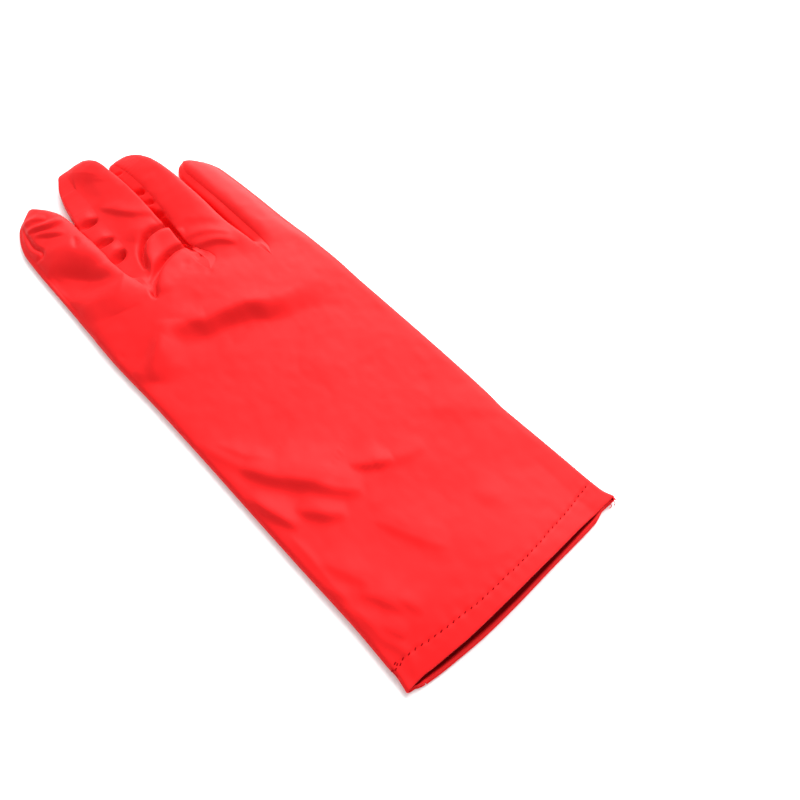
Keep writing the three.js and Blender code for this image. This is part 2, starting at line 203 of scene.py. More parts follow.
def makeSatin(name, finish):
    material, shader = newMaterial(name, finish["roughness"], finish["specular"])
    setSockets(shader, {
        "Metallic": finish["gloss"],
        "Sheen Weight": satin["sheen"],
        "Sheen Roughness": satin["sheenRoughness"],
        "Sheen Tint": (*satin["sheenTint"], 1),
    })
    tree = material.node_tree
    where = tree.nodes.new("ShaderNodeTexCoord").outputs["Object"]
    # long floating threads of the satin's face, lying along the glove
    stretch = tree.nodes.new("ShaderNodeMapping")
    perLength, perWidth = satin["floats"]
    setSockets(stretch, {"Scale": (perWidth, perLength, perWidth)})
    tree.links.new(where, stretch.inputs["Vector"])
    floats = addNoise(tree, 1, 2, vector=stretch.outputs["Vector"])
    # uneven dye
    dye = tree.nodes.new("ShaderNodeMix")
    setSockets(dye, {"Factor": satin["floatShare"]})
    tree.links.new(addNoise(tree, **satin["dyeClouds"], vector=where), dye.inputs["A"])
    tree.links.new(floats, dye.inputs["B"])
    tintBetween(tree, shader, dye.outputs["Result"], finish["deep"], finish["bright"])
    # small creases between the modelled folds, over the threads' own relief
    threads = addBump(tree, floats, **satin["weave"])
    creases = addBump(tree, addNoise(tree, satin["creaseSize"], 4, vector=where), **satin["creases"])
    tree.links.new(threads.outputs["Normal"], creases.inputs["Normal"])
    tree.links.new(creases.outputs["Normal"], shader.inputs["Normal"])
    return material


satinFace = makeSatin("satinFace", faceFinish)
# the reverse material is partly the duller back of the weave and partly painted shade
satinReverseWithPaintedShade = makeSatin("satinReverseWithPaintedShade", reverseFinishWithPaintedShade)
print("satin mixed")


# Shape helpers

def smooth(start, end, value):
    share = np.clip((value - start) / (end - start), 0, 1)
    return share * share * (3 - 2 * share)


def mix(a, b, share):
    return a + (b - a) * share


def curve(table, column, at):
    # a table's column over its first one, as a smooth curve that never swings past its own values
    spots = np.array(next(iter(table.values())), float)
    values = np.array(table[column], float)
    gaps = np.diff(spots)
    slopes = np.diff(values) / gaps
    tangents = np.concatenate([slopes[:1], np.zeros(len(slopes) - 1), slopes[-1:]])
    before, after = slopes[:-1], slopes[1:]
    level = before * after > 0
    tangents[1:-1][level] = (2 * before * after)[level] / (before + after)[level]
    at = np.clip(at, spots[0], spots[-1])
    k = np.clip(np.searchsorted(spots, at, "right") - 1, 0, len(gaps) - 1)
    t = (at - spots[k]) / gaps[k]
    rise = (1 + 2 * t) * (1 - t) ** 2 * values[k] + t * t * (3 - 2 * t) * values[k + 1]
    return rise + gaps[k] * t * (1 - t) * ((1 - t) * tangents[k] - t * tangents[k + 1])


def nearest(path, x, along):
    # distance to a drawn line, the share of its length there, and on which hand the point lies
    points = np.array(path, float)
    lengths = np.hypot(*np.diff(points, axis=0).T)
    starts = np.concatenate([[0], np.cumsum(lengths)])
    best = np.full(np.shape(x), np.inf)
    share = np.zeros(np.shape(x))
    hand = np.ones(np.shape(x))
    for (ax, ay), (bx, by), length, start in zip(points[:-1], points[1:], lengths, starts):
        dx, dy = (bx - ax) / length, (by - ay) / length
        run = np.clip((x - ax) * dx + (along - ay) * dy, 0, length)
        offX, offY = x - ax - dx * run, along - ay - dy * run
        distance = np.hypot(offX, offY)
        closer = distance < best
        best = np.where(closer, distance, best)
        share = np.where(closer, (start + run) / starts[-1], share)
        hand = np.where(closer, np.sign(dx * offY - dy * offX), hand)
    return best, share, hand


def rounded(path, steps=5):
    # a line through the same points without its corners
    points = np.array(path, float)
    padded = np.concatenate([[2 * points[0] - points[1]], points, [2 * points[-1] - points[-2]]])
    t = np.linspace(0, 1, steps, endpoint=False)[:, None]
    pieces = []
    for p0, p1, p2, p3 in zip(padded[:-3], padded[1:-2], padded[2:-1], padded[3:]):
        pieces.append(0.5 * (2 * p1 + (p2 - p0) * t + (2 * p0 - 5 * p1 + 4 * p2 - p3) * t ** 2
                             + (3 * p1 - p0 - 3 * p2 + p3) * t ** 3))
    return np.concatenate([*pieces, points[-1:]])


foldEnds = dict(swell=0.7, width=0.5)        # how soon a fold rises from its ends, its width there
longWaves = 1.2              # how much more the long waves of a ripple count than its short ones


def mound(off, width):
    return np.exp(-((off / width) ** 2))


def foldRelief(folds, x, along):
    # a fold has a steep side on the right hand of its line and a gentle one on the left
    total = np.zeros(np.shape(x))
    for path, height, steep, gentle in folds:
        distance, share, hand = nearest(rounded(path), x, along)
        swell = np.sin(pi * np.clip(share, 0, 1)) ** foldEnds["swell"]
        width = np.where(hand > 0, gentle, steep) * mix(foldEnds["width"], 1, swell)
        total += height * swell * mound(distance, width)
    return total


def rippleTable(seed, count, shortest, longest):
    # a fixed set of faint waves that keep the cloth from being perfectly even
    draw = np.random.default_rng(seed)
    length = shortest * (longest / shortest) ** draw.random(count)
    angle = draw.random(count) * 2 * pi
    phase = draw.random(count) * 2 * pi
    return list(zip(length, angle, phase))


def ripple(table, x, along, height):
    total = np.zeros(np.shape(x))
    longest = max(row[0] for row in table)
    for length, angle, phase in table:
        turn = 2 * pi * (x * cos(angle) + along * sin(angle)) / length + phase
        total += np.sin(turn) * (length / longest) ** longWaves
    return total * height / sqrt(len(table))


# The glove's plan

sides = dict(
    along=[-6, -0.8, 0.2, 1.6, 3.4, 5.5, 8, 20, 42, 47, 60, 90, 115, 142, 165],
    left=[-39.5, -39.7, -39.7, -39.5, -39.2, -39, -39.1, -38.9, -39.4, -39.5, -39.7, -40.1, -40.6, -41.6,
        -41.4],
    right=[41.4, 41.4, 41.1, 40.6, 40.2, 40.1, 40, 39.9, 39.6, 40.1, 40.7, 41.3, 41.5, 41, 40.6],
)
backHemLine = dict(
    x=[-40, -36.4, -34, -30.6, -26.3, -23.4, -19.3, -11, -2, 6, 11.5, 18.5, 24.5, 29, 32, 36, 38.5, 41.4],
    along=[0.3, 0.4, 0.35, -0.1, -0.5, -0.75, -1.1, -1.3, -1.35, -1.25, -1.2, -1.05, -0.85, -0.8, -0.85, -0.8,
        -0.85, -0.75],
)
palmHemLine = dict(
    x=[-40, -38.6, -37.4, -36.5, -35.2, -33.1, -29.1, -24.6, -20.3, -14.6, -8, -2, 9.4, 16.2, 22, 27, 31.3,
        33.4, 35.7, 37.6, 40, 41.4],
    along=[0.3, -0.05, -0.25, -0.75, -1.2, -1.55, -2.1, -2.5, -2.85, -3.2, -3.3, -3.25, -2.95, -2.8, -2.75,
        -2.65, -2.45, -1.95, -1.4, -1.45, -1.5, -1.1],
)
palmBead = dict(             # width of the palm's rounded hem that shows in front of the mouth
    x=[-40, -37, -34.4, -30, -19, -2, 15, 27, 32.4, 36, 41],
    width=[0.5, 0.8, 1.3, 1.4, 1.5, 1.3, 1.25, 1.45, 1.3, 0.9, 0.8],
)
mouth = dict(rest=2.4, rise=3.4, middle=-2, half=34.5, start=2, end=34)
# how far the top stands above its sides, and from what distance it comes down to them
archRows = dict(
    along=[0, 10, 30, 60, 90, 130, 150, 175, 200],
    arch=[1.4, 1.2, 0.8, 0.6, 0.6, 0.8, 1.4, 2, 2.2],
    leftDrop=[3, 3, 3, 3, 3, 3, 4, 8, 8],
    rightDrop=[4, 4, 3, 3, 3, 4, 5, 6, 6],
)
form = dict(
    clothGap=1.5,            # least height of the back's face over the palm's
    fingerGap=0.3,           # added to it on the fingers
    archOverThumb=0.55,      # share of the arch that stays over the tucked thumb
    fingerBlend=18,
    tipPower=2.4, seamRound=0.55, seamDrop=0.08,
    seamFade=(1, 9),         # from the knuckle, where the seams start to sink in
    footRound=0.95,
    underWrap=5,             # how far the back's cloth runs under the fold
    underShare=0.24,         # the most of the index finger's width that it takes
    knuckleLeft=152, knuckleRight=138,
)
thumbLine = dict(
    base=(-23.5, 145.5), baseRadius=9.6, tip=(8.5, 129.5), tipRadius=8,
    reach=8,                 # how far past its ends the cloth over it still follows its line
    hole=8,                  # radius of the palm's hole at its base
)
# the cloth over the tucked thumb: where it starts to come down, over what length, and how high it is
bulge = dict(
    x=[-41.6, -40.4, -39, -37, -33, -29.5, -25, -21, -16.5, -11.5, -4, 2, 9, 16, 23, 31, 40],
    brow=[137.4, 136, 134.6, 132.6, 130.4, 131, 134.6, 137.2, 135, 131.6, 130.2, 129, 125, 122.8, 124, 126,
        128],
    slope=[6, 7, 8, 10, 10.5, 10, 11, 11, 9.5, 7.2, 6.6, 8, 9.5, 9, 13, 18, 18],
    height=[0, 0.1, 0.2, 0.5, 1.2, 1.9, 2.7, 3.2, 3.5, 3.7, 3.8, 3.8, 3.6, 3.1, 2.5, 1.8, 1.1],
    thumbSide=10,            # mm past the thumb's middle line where the cloth starts down towards the fingers
    fingerSlope=26,
)

# each finger from its base to its tip: outer sides, and the seams of its back
fingers = [
    # index
    dict(
        along=[150.6, 156, 161, 167, 175, 185, 195, 203, 208, 212.6, 217, 219.2, 222, 223.6, 224.2],
        tip=224.2, round=19, arch=1.9, leftEdge=2.4, rightEdge=5, power=4, columns=38, flush=0,
        left=[-41.5, -41.4, -41.4, -41.3, -41.3, -41.3, -41.2, -40.9, -40, -38.5, -36.4, -34.6, -31.6, -30.2,
            -29.6],
        seamRight=[-17.3, -17.7, -18.1, -19.5, -19.9, -20.2, -20.6, -20.9, -21.4, -22.4, -24.2, -25.4, -27.1,
            -28.4, -29.6],
        right=[-17.3, -17.6, -18, -19.3, -19.7, -20, -20.3, -20.5, -20.7, -21.4, -23.1, -24.4, -26.4, -28,
            -29.6],
    ),
    # middle
    dict(
        along=[148.1, 150.6, 155, 160, 165, 178, 188, 199, 207, 212.4, 218, 223.6, 229, 231.8, 233.4, 234.8,
            235.9],
        tip=235.9, round=24, arch=0.4, leftEdge=4.7, rightEdge=6.4, power=5, columns=38, flush=1,
        left=[-17.3, -17.3, -18, -19.4, -20.2, -20.5, -20.7, -20.7, -19.3, -18.4, -17.4, -15.9, -13.4, -12,
            -8.9, -5, -0.8],
        seamLeft=[-17.3, -17.3, -15.6, -14.6, -14.2, -12.7, -12.2, -11.8, -10.9, -10.5, -10.6, -10.4, -9.4,
            -8.2, -6.6, -4.2, -0.8],
        seamRight=[3.8, 3, 2.5, 2.8, 3, 3.6, 3.9, 4.2, 4.1, 3.9, 3.5, 2.8, 1.4, 0.6, 0.2, -0.2, -0.8],
        right=[3.8, 3.1, 2.8, 3.1, 3.4, 4, 4.2, 4.5, 4.5, 4.3, 3.9, 3.2, 1.8, 0.9, 0.5, 0, -0.8],
    ),
    # ring
    dict(
        along=[140, 148.1, 151, 153.8, 157, 160, 164, 168, 172, 177, 183, 189, 197, 206, 213, 218, 221.8,
            224.3, 226.1, 226.9, 227.2],
        tip=227.2, round=20, arch=0.6, leftEdge=4.7, rightEdge=6, power=5, columns=26, flush=0,
        left=[3.8, 3.8, 3.4, 3.3, 3.4, 3.5, 3.6, 3.8, 4, 4.2, 4.3, 4.5, 4.8, 5, 5.1, 5.2, 5.3, 5.6, 7, 9.4,
            11.5],
        seamLeft=[3.8, 3.8, 6.8, 8.9, 8.7, 7.4, 5.9, 5.6, 5.9, 6.6, 7.7, 8.2, 8.9, 9.3, 9.2, 8.9, 8.5, 8.2,
            8.8, 10.2, 11.5],
        seamRight=[24.2, 23.4, 23.1, 22.8, 22.4, 22, 21.6, 21.3, 21.2, 21.2, 21.2, 21.2, 21.2, 20.7, 19.8,
            18.8, 17.5, 15.7, 13.9, 12.5, 11.5],
        right=[24.2, 23.7, 23.4, 23.1, 22.8, 22.5, 22.3, 22.2, 22.2, 22.3, 22.3, 22.2, 22, 21.5, 20.7, 19.6,
            18.1, 16.2, 14.3, 12.8, 11.5],
    ),
    # little
    dict(
        along=[138, 140, 146, 155, 170, 185, 195, 199, 203, 206, 208, 208.9],
        tip=208.9, round=16, arch=1.9, leftEdge=4.6, rightEdge=2.4, power=3, columns=20, flush=0,
        left=[24.2, 24.2, 23.4, 22.9, 22.8, 22.8, 23, 23.6, 24.6, 26.2, 28.8, 31.2],
        seamLeft=[24.2, 24.2, 26.2, 26.8, 26.8, 26.6, 26.4, 26.4, 26.9, 28, 29.6, 31.2],
        seamRight=[41.1, 41.1, 41, 40.8, 40.5, 39.9, 39.2, 38.2, 36.6, 34.6, 32.6, 31.2],
    ),
]
for finger in fingers:
    # the glove's own two sides have no strip, so the cloth ends at the finger's outline there
    finger.setdefault("seamLeft", finger["left"])
    finger.setdefault("right", finger["seamRight"])
little = len(fingers) - 1
crotches = [(-17.3, 150.6), (3.8, 148.1), (24.2, 140)]


def lift(x, along):
    # the palm and back rise where they pass over the tucked thumb
    brow = curve(bulge, "brow", x)
    slope = curve(bulge, "slope", x)
    (ax, ay), (bx, by) = thumbLine["base"], thumbLine["tip"]
    reach = thumbLine["reach"]
    middle = ay + (np.clip(x, ax - reach, bx + reach) - ax) * (by - ay) / (bx - ax)
    rise = smooth(0, 1, (along - brow + slope) / slope)
    fall = 1 - smooth(0, 1, (along - middle - bulge["thumbSide"]) / bulge["fingerSlope"])
    return curve(bulge, "height", x) * rise * fall


def sideAt(name, along):
    return curve(sides, name, along)


def handTop(x, along):
    left, right = sideAt("left", along), sideAt("right", along)
    fromLeft = np.clip(1 - (x - left) / curve(archRows, "leftDrop", along), 0, 1)
    fromRight = np.clip(1 - (right - x) / curve(archRows, "rightDrop", along), 0, 1)
    level = (1 - fromLeft ** 2) * (1 - fromRight ** 2)
    raised = lift(x, along)
    kept = mix(1, form["archOverThumb"], raised / max(bulge["height"]))
    arch = curve(archRows, "arch", along) * kept
    top = 2 * foldRadius + raised + arch * level
    bow = np.maximum(0, 1 - ((x - mouth["middle"]) / mouth["half"]) ** 2)
    return mix(mouth["rest"] + mouth["rise"] * bow, top, smooth(mouth["start"], mouth["end"], along))


def tipFall(finger, along):
    tipShare = np.clip((along - finger["tip"] + finger["round"]) / finger["round"], 0, 1)
    return np.sqrt(np.maximum(0, 1 - tipShare ** form["tipPower"]))


def fingerTop(finger, share, x, along, knuckle):
    edge = mix(finger["leftEdge"], finger["rightEdge"], share)
    crown = 1 - np.abs(2 * share - 1) ** finger["power"]
    # a flush finger comes down to its left seam without a step
    level = np.where(share < 0.5, np.sin(pi * share) ** 2, crown)
    swell = edge - foldRadius + finger["arch"] * mix(crown, level, finger["flush"])
    height = foldRadius + swell * tipFall(finger, along)
    return mix(handTop(x, along), height, smooth(knuckle, knuckle + form["fingerBlend"], along))


def leastTop(x, along, fall):
    return lift(x, along) + form["clothGap"] * fall + form["fingerGap"]


def seamDepth(finger, side, amount):
    # the seams show as grooves, except where the cloth lies flush with its side strip
    return amount * (1 - finger["flush"] if side == "left" else 1)


def sinkFrom(knuckle, along):
    start, end = form["seamFade"]
    return smooth(knuckle + start, knuckle + end, along)


pucker = dict(height=0.12, waves=(5.3, 3.1, 17), reach=1.8)


def seamPucker(k, along):
    # the seam thread draws the cloth in unevenly
    first, second, slow = [2 * pi * along / wave for wave in pucker["waves"]]
    rough = np.sin(first + 3 * k) * np.sin(second + k)
    return pucker["height"] * rough * (0.5 + 0.5 * np.sin(slow + 2 * k))


# Folds of the back: line, height, width of the steep side, width of the gentle side
backFolds = [
    # forearm
    ([(-33.6, 79), (-29.3, 70.9), (-25.2, 66.1), (-20.7, 60.8), (-19, 57.2), (-15, 52.5), (-11.4, 49.6)],
        2.3, 2.6, 11),
    ([(-38.6, 94), (-36.4, 88.5), (-34, 81.5), (-31.6, 76), (-28, 70)], 0.7, 2, 7),
    ([(-34.6, 91), (-32, 85.5), (-29.6, 80.5), (-25, 75)], 0.3, 0.9, 3),
    ([(-38.2, 70), (-36.7, 64.6), (-35, 59.4), (-32.6, 52.6)], 1.5, 1.4, 4.6),
    ([(-29.8, 58), (-27.4, 54.6), (-24.2, 50.4), (-20, 46.8)], 1.5, 1.9, 6),
    ([(-9.6, 58), (-6.2, 55.2), (-2.4, 52.6), (1.5, 51)], 1.1, 1.1, 5),
    ([(-4, 53.5), (1.6, 50.8), (6.6, 49.4), (12, 47.9)], 0.5, 2, 5),
    ([(-15.4, 40), (-13.4, 36), (-10.7, 29.6), (-8.2, 24), (-5, 20)], 0.65, 1.9, 8),
    ([(-35, 40.5), (-32.8, 37.4), (-30.5, 31.6), (-28.4, 27)], 0.6, 1.7, 5),
    ([(-38.4, 34), (-37, 31), (-35.6, 27.4)], 0.5, 1.1, 3),
    ([(-32.6, 26.4), (-30.3, 24.2), (-27.5, 18.1), (-26.6, 15)], 0.8, 1.6, 5),
    ([(-25.8, 18.6), (-24.4, 15.4), (-23, 11.6)], 0.5, 1.3, 4),
    ([(-33.4, 17), (-32.2, 14), (-30.8, 10)], 0.55, 1.3, 4),
    ([(-36, 24.6), (-35, 20), (-34.4, 15)], 0.4, 1.6, 2.4),
    ([(-36.1, 53), (-35.8, 44), (-36.2, 34)], 0.3, 1, 1.4),
    ([(-38.3, 30), (-36.6, 17.5), (-33.8, 9), (-34.4, 2)], 0.3, 1.4, 1.8),
    ([(23, 57), (29, 51), (36, 45)], 0.4, 4, 8),
    ([(12, 29), (14, 23), (16, 17)], 0.35, 2.5, 5),
    ([(2, 97), (9, 92), (15, 84)], 0.4, 5, 8),
    # hand
    ([(-20.5, 139.4), (-23.3, 136.2), (-26.7, 132), (-30.3, 128.1), (-33.1, 125.4), (-35.7, 122.5)],
        1.9, 4, 9),
    ([(-39, 131), (-36.6, 127), (-34.6, 123)], 0.8, 3, 6),
    ([(-24, 134), (-20, 134.6), (-15, 133.6), (-10, 131.4)], 0.7, 3, 7),
    ([(-15, 134.8), (-11.5, 131.6), (-4, 130.2), (4, 128), (11, 123.6)], 0.7, 2.6, 5),
    ([(-34, 112), (-24, 113.4), (-12, 114.6), (0, 114.4), (12, 113)], 0.5, 9, 5),
    ([(-20, 176), (-24, 168), (-27, 160), (-29, 153)], 1.7, 9, 9),
    ([(-15, 143), (-10.7, 141.3), (-6, 139.6)], -0.22, 3.4, 3.4),
    ([(-2.2, 158), (-0.2, 155.8)], -0.2, 1.8, 1.8),
    ([(1.6, 148.4), (3.4, 146.6)], -0.2, 1.8, 1.8),
    ([(-39.4, 139.4), (-37.6, 137.4)], -0.25, 0.7, 0.7),
    # index, from its dip at the knuckle to its tip
    ([(-40, 187), (-36, 181.4), (-32.4, 176.4), (-28.8, 172), (-25, 168.6), (-21, 165.6)], -3.3, 6.5, 6),
    ([(-37, 186), (-34.2, 182.4), (-30.8, 178), (-27, 173), (-24, 169.6)], -0.6, 1.4, 2.6),
    ([(-35, 197), (-29, 191.6), (-23, 186), (-18, 180)], 1.5, 6, 8),
    ([(-34.4, 216.4), (-31.4, 213.6), (-27, 210.8)], 1, 1.1, 3),
    ([(-33.8, 215.6), (-30.4, 212.4), (-27, 209.6)], -0.5, 0.8, 0.8),
    ([(-36, 210.8), (-33.2, 210), (-28.4, 206.9), (-22.9, 206), (-21.4, 206)], 1.2, 1.2, 2.6),
    ([(-35.4, 209.5), (-33.6, 209), (-28.5, 205.6), (-22.6, 204.8)], -0.8, 0.8, 0.8),
    ([(-34.4, 206.4), (-32.6, 205.2), (-27.2, 200.3), (-25.6, 198.6)], 0.8, 1.1, 3),
    ([(-34, 205.2), (-32.9, 204.1), (-27.5, 199.2), (-26.2, 198)], -0.6, 0.8, 0.8),
    ([(-26.6, 188.4), (-25.1, 191), (-23.9, 194.6)], -0.8, 1.1, 1.1),
    ([(-34.6, 216), (-35.5, 213), (-36.4, 207.7), (-36.8, 202.6), (-35.7, 198), (-37.3, 196.2),
        (-40.6, 197.6)], -1.2, 0.75, 0.75),
    # middle: a raised fold at its base between two creases, the lower one running down to the crotch
    ([(6.5, 176), (2.4, 178), (-2, 178.7), (-5.6, 177.6), (-9, 174.2), (-11, 170), (-12.6, 164.4)],
        -3.8, 1.1, 1),
    ([(8, 172.6), (1, 174.6), (-5, 173.4), (-8.6, 169.4), (-10.4, 164), (-13, 159)], 2.5, 1.7, 4.2),
    ([(2, 162.4), (-3.4, 161.4), (-8.4, 158.8), (-12, 155), (-15, 150)], 1.5, 1.6, 6),
    ([(6, 163.6), (0, 165.2), (-5, 164.4), (-9, 162.2), (-12.6, 158.8), (-15.2, 155.6), (-17.8, 150)],
        -3.8, 1.1, 0.95),
    ([(2, 182), (-5, 182), (-9, 179)], 0.8, 5, 2.2),
    ([(-14.6, 157), (-16.4, 153.4), (-17.6, 149.8)], -2.4, 0.95, 0.95),
    ([(-9.4, 203.4), (-8.1, 201.4), (-3.2, 192.8), (1.4, 187.8), (4, 185.6)], 1, 1.1, 4),
    ([(-14, 232), (-6, 231), (0, 226), (4, 219)], 1.7, 10, 5),
    ([(6, 186), (5, 200), (4.4, 212), (3, 224), (0, 236)], 1.4, 3, 11),
    ([(-13, 208), (-9.6, 214), (-6, 219), (-3, 221)], -0.7, 6, 8),
    # ring
    ([(6, 168.6), (10.4, 167), (15, 163.6), (19.4, 158.6)], 0.9, 1.6, 3.4),
    ([(5.4, 162.6), (9.4, 161.4), (14.4, 158.6), (18.6, 153.6)], 1.1, 1.3, 3.6),
    ([(8, 177.6), (13, 175), (18, 170), (21.6, 164)], 0.5, 2.4, 5),
    ([(22.4, 172), (21.8, 190), (21, 206), (17.4, 221)], 1.5, 3, 11),
]
backRipple = rippleTable(seed=11, count=36, shortest=7, longest=46)
fineRipple = rippleTable(seed=23, count=40, shortest=3, longest=9)
stitchLine = dict(
    x=[-39.5, -37.3, -35.9, -34.6, -32.3, -30.6, -29, -26, -24.2, -17.8, -9.4, -1.8, 4.9, 12.5, 19.5, 25.7,
        34.7, 40],
    along=[6.6, 6.9, 6.9, 6.8, 6.6, 6.3, 6, 5.4, 5.1, 4.4, 3.6, 3.5, 3.5, 3.8, 4.5, 5, 6.3, 6.9],
)
hemForm = dict(groove=0.13, grooveWidth=0.5, pull=0.05, pullWidth=2, pullPitch=3.9, pullDrift=(0.8, 5))
hemPuff = dict(height=0.07, width=1.9, below=3)
uneven = dict(edge=3.5, broad=0.22, fine=0.06, strip=0.12, palm=0.072)


def hemRelief(x, along):
    # the stitched line is pulled in, and the turned-in layers puff up between it and the hem's edge
    off = along - curve(stitchLine, "along", x)
    drift, driftPitch = hemForm["pullDrift"]
    gather = np.cos(2 * pi * x / hemForm["pullPitch"] + drift * np.sin(x / driftPitch))
    pulled = hemForm["groove"] * mound(off, hemForm["grooveWidth"])
    pulled += hemForm["pull"] * mound(off, hemForm["pullWidth"]) * gather
    return hemPuff["height"] * mound(off + hemPuff["below"], hemPuff["width"]) - pulled


def backRelief(x, along):
    left, right = sideAt("left", along), sideAt("right", along)
    fade = smooth(0, uneven["edge"], np.minimum(x - left, right - x))
    waves = ripple(backRipple, x, along, uneven["broad"]) + ripple(fineRipple, x, along, uneven["fine"])
    return (foldRelief(backFolds, x, along) + waves + hemRelief(x, along)) * fade


# Meshes

def weld(patches):
    # joins grids of points into one list of points and faces, sharing the points that meet
    flat = np.concatenate([grid.reshape(-1, 3) for grid in patches])
    _, first, number = np.unique(np.round(flat, 3), axis=0, return_index=True, return_inverse=True)
    number = number.reshape(-1)
    faces = []
    start = 0
    for grid in patches:
        rows, columns = grid.shape[:2]
        ids = number[start:start + rows * columns].reshape(rows, columns)
        start += rows * columns
        quads = np.stack([ids[:-1, :-1], ids[:-1, 1:], ids[1:, 1:], ids[1:, :-1]], -1).reshape(-1, 4)
        for quad in quads.tolist():
            ring = [n for k, n in enumerate(quad) if n != quad[k - 1]]
            if len(set(ring)) >= 3 and len(set(ring)) == len(ring):
                faces.append(ring)
    return flat[first], faces


def asGrid(x, along, z):
    return np.stack(np.broadcast_arrays(x, along, z), -1)


def makePiece(name, points, faces, material):
    mesh = bpy.data.meshes.new(name)
    mesh.from_pydata(((points - (0, hemToOrigin, 0)) * mm).tolist(), [], faces)
    mesh.validate()
    mesh.polygons.foreach_set("use_smooth", [True] * len(mesh.polygons))
    mesh.materials.append(material)
    piece = addToScene(name, mesh)
    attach(piece, "root")
    return piece


def makeCloth(name, node, patches, thick=clothThick, face=satinFace, reverseWithShade=satinReverseWithPaintedShade,
              hole=None):
    points, faces = weld(patches)
    if hole:
        (holeX, holeAlong), radius = hole
        middles = np.array([points[corners].mean(0) for corners in faces])
        inside = np.hypot(middles[:, 0] - holeX, middles[:, 1] - holeAlong) < radius
        faces = [corners for corners, gone in zip(faces, inside) if not gone]
    piece = makePiece(name, points, faces, face)
    # a cut edge stays crisp and doesn't bend the shading of the face
    shape = bmesh.new()
    shape.from_mesh(piece.data)
    for edge in shape.edges:
        edge.smooth = not edge.is_boundary
    shape.to_mesh(piece.data)
    shape.free()
    wall = piece.modifiers.new("clothWall", "SOLIDIFY")
    wall.thickness = thick * mm
    wall.offset = -1
    # the inner side and the cut edges take the reverse material, whose dark tone is painted shade over the
    # duller back of the weave
    if reverseWithShade:
        piece.data.materials.append(reverseWithShade)
        wall.material_offset = 1
    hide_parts(node)
    return piece


# Parts that the back and the palm share

def knucklePoints(table, leftEnd, rightEnd):
    left = (float(sideAt("left", leftEnd)), leftEnd)
    right = (float(sideAt("right", rightEnd)), rightEnd)
    return [left, *table, right]


def foldArc(steps, start, end):
    return np.radians(np.linspace(start, end, steps + 1))


tipTurn = 0.995              # share of a quarter turn over which rows close up towards a fingertip


def tipLevels(count):
    level = np.sin(np.linspace(0, 1, count + 1) * pi / 2 * tipTurn)
    return level / level[-1]


def handPlan(points, shares, leftIn, hemLine, cut, level):
    # x and along of a grid from the hem to the fingers' bases, with columns at these shares of each finger
    row = []
    for k, (ax, ay), (bx, by) in zip(range(len(fingers)), points, points[1:]):
        ax += leftIn if k == 0 else 0
        bx -= foldRadius if k == little else 0
        row += [(mix(ax, bx, share), mix(ay, by, share)) for share in shares[k][min(k, 1):]]
    knuckleX, knuckleAlong = np.array(row).T
    low = sideAt("left", knuckleAlong) + leftIn
    share = (knuckleX - low) / (sideAt("right", knuckleAlong) - foldRadius - low)
    start = curve(hemLine, "along", mix(*cut["hemSpan"], share)) + cut["hemRound"]
    along = start + (knuckleAlong - start) * level[:, None]
    return mix(sideAt("left", along) + leftIn, sideAt("right", along) - foldRadius, share), along


def fingerPlan(k, points, shares, level, outline, leftIn):
    # a finger's grid from its base to its tip, between its outlines on the left and the right
    (ax, ay), (bx, by) = points[k], points[k + 1]
    knuckle = mix(ay, by, shares[None, :])
    along = mix(knuckle, fingers[k]["tip"], level[:, None])
    low, high = outline(k, "left", along), outline(k, "right", along)
    low[0] = ax + (leftIn if k == 0 else 0)
    high[0] = bx - (foldRadius if k == little else 0)
    return mix(low, high, shares[None, :]), along, knuckle, low, high


def underReach(finger, along, left):
    # how far the back's cloth runs under the index finger
    width = curve(finger, "seamRight", along) - left
    return np.minimum(form["underWrap"], width * form["underShare"])


def curlHem(grid, radius, turns=6):
    # rolls the first row of a grid inwards round a small radius, as a pressed hem edge
    across = np.gradient(grid[0], axis=0)
    onward = grid[1] - grid[0]
    inward = np.cross(onward, across)
    inward /= np.linalg.norm(inward, axis=1, keepdims=True)
    onward = onward / np.linalg.norm(onward, axis=1, keepdims=True)
    rows = []
    for turn in np.linspace(pi, 0, turns + 1)[:-1]:
        rows.append(grid[0] - onward * radius * sin(turn) + inward * radius * (1 - cos(turn)))
    return np.concatenate([np.array(rows), grid])


# Back of the glove

back = dict(
    hemRound=0.3,
    hemSpan=(-38.5, 40.2),   # x of the hem's flat stretch
    hemCorner=-39.6,         # x where it meets the fold
    hemFollow=8,             # from the hem, how far the fold follows the palm's hem line
    hemRows=[0, 0.004, 0.01], stitchRows=(0.018, 0.075, 26), handRows=(0.08, 1, 130), fingerRows=128,
    tipRows=1.3,             # how much closer the rows are at the fingertips
    closeRows=0.4,           # and at the knuckles' creases
    besideSeam=[0, 0.25, 0.55],
    foldSteps=9, seamSteps=6,
    seamEnd=6,               # degrees above the seam at the little-finger side
    underRows=(8, 6),        # under the hand and under the index finger
)


def seamShares(k, finger):
    # even columns with a few close ones beside each seam, as shares of a finger's width
    width = finger["seamRight"][4] - finger["seamLeft"][4]
    low = [space / width for space in back["besideSeam"]] if k > 0 else [0]
    high = [1 - space / width for space in reversed(back["besideSeam"])] if k < little else [1]
    return np.concatenate([low, np.linspace(low[-1], high[0], finger["columns"] + 1)[1:-1], high])


def indexFold(x, along, radius, underShare):
    # wraps a row of edge points round the fold, from below to just short of the top
    rows = []
    for angle in foldArc(back["foldSteps"], -90, 90)[:-1]:
        edgeX = x + radius * (1 - cos(angle))
        rise = np.maximum(0, handTop(edgeX, along) - 2 * foldRadius - lift(edgeX, along))
        z = foldRadius + radius * sin(angle) + lift(edgeX, along)
        z += rise * max(0, sin(angle)) * underShare
        rows.append(asGrid(edgeX, along, z))
    return np.stack(rows, 1)


